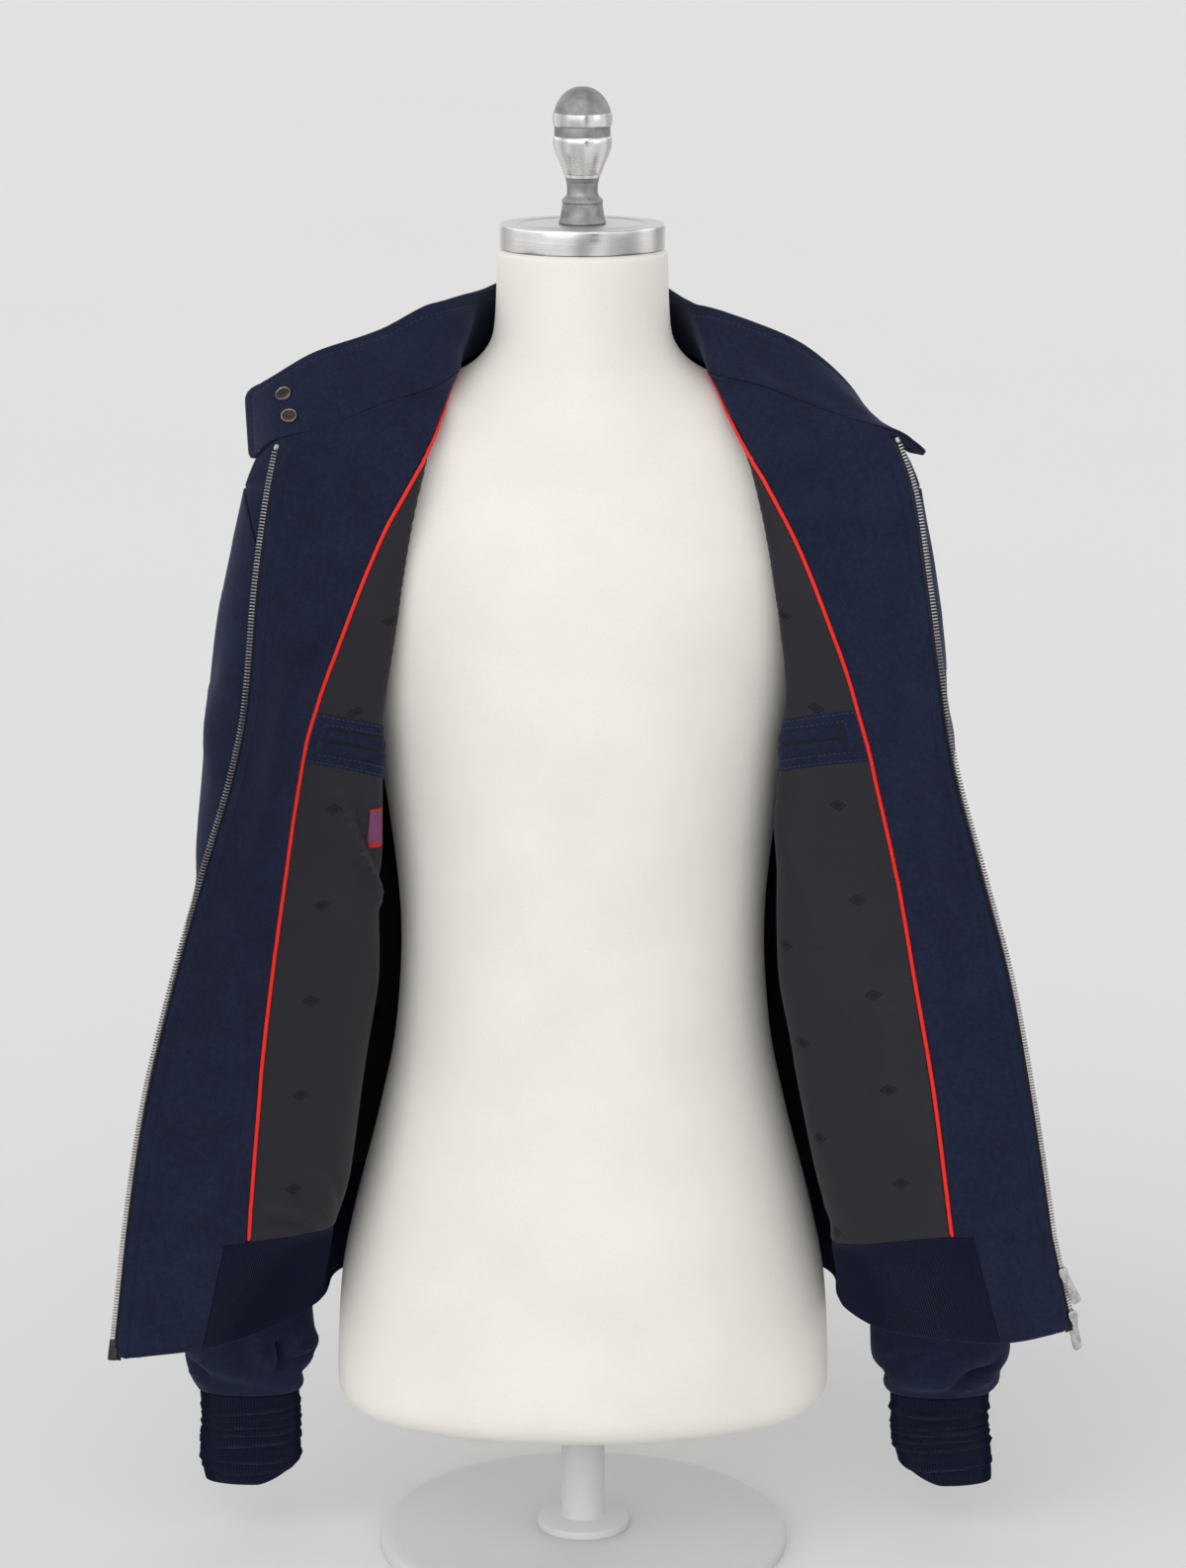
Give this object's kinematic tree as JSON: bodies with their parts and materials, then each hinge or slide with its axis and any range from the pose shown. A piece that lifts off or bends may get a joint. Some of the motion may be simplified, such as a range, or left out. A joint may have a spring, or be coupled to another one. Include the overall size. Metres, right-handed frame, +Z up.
{
  "type": "wool zip coat on a limbless dress form",
  "caption": "Short navy wool coat with a stand collar, two-way zip, knitted waistband and cuffs, worn wide open on a limbless dress form with a round foot.",
  "frame": {"origin": "centre of the stand's foot, on its underside", "axes": "+Z up along the post; -Y is the side that the open fronts face; +X is the wearer's left"},
  "size_m": [0.691, 0.3099, 1.064],
  "materials": {
    "wool": "brushed navy wool with a short nap, matt",
    "knit": "navy rib knit, matt",
    "lining": "charcoal fine twill with a tonal woven motif, slight sheen",
    "piping": "bright red satin-covered cord",
    "label": "plain mauve woven label, no text",
    "zip_tape": "dark navy zip tape",
    "zip_metal": "antiqued nickel teeth",
    "slider_metal": "polished nickel, darkened in its recesses",
    "snap_metal": "bronze-gunmetal, satin",
    "form_cloth": "cream cotton drawn tight over a hard shell",
    "cap_metal": "turned and polished aluminium",
    "stand_metal": "pale grey powder coat over steel"
  },
  "bodies": {
    "coat_on_form": {"back": "wool", "front_left": "wool", "front_right": "wool", "facing_left": "wool", "facing_right": "wool", "sleeve_left": "wool", "sleeve_right": "wool", "collar_outer": "wool", "collar_inner": "wool", "hem_tab_left": "wool", "hem_tab_right": "wool", "pocket_patch_left": "wool", "pocket_patch_right": "wool", "pocket_welt_left": "wool", "pocket_welt_right": "wool", "waistband_back": "knit", "waistband_left": "knit", "waistband_right": "knit", "cuff_left": "knit", "cuff_right": "knit", "lining_back": "lining", "lining_left": "lining", "lining_right": "lining", "piping_left": "piping", "piping_right": "piping", "label": "label", "zip_tape_left": "zip_tape", "zip_tape_right": "zip_tape", "zip_teeth_left": "zip_metal", "zip_teeth_right": "zip_metal", "zip_stop_left": "zip_metal", "zip_stop_right": "zip_metal", "zip_pin": "zip_metal", "slider_upper": "slider_metal", "slider_lower": "slider_metal", "snap_left_lower": "snap_metal", "snap_left_upper": "snap_metal", "snap_right_lower": "snap_metal", "snap_right_upper": "snap_metal", "form_torso": "form_cloth", "neck_cap": "cap_metal", "finial": "cap_metal", "post": "stand_metal", "foot": "stand_metal"},
    "upper_pull": {"pull_upper": "slider_metal"},
    "lower_pull": {"pull_lower": "slider_metal"}
  },
  "joints": [
    {"name": "upper_pull_swing", "type": "hinge", "parent": "coat_on_form", "child": "upper_pull", "pos_m": [0.33895, -0.09819, 0.24013], "axis": [0.8315, 0.2904, 0.4736], "range_deg": [0, 165]},
    {"name": "lower_pull_swing", "type": "hinge", "parent": "coat_on_form", "child": "lower_pull", "pos_m": [0.34622, -0.0948, 0.20708], "axis": [0.8725, 0.4216, 0.247], "range_deg": [0, 165]}
  ]
}
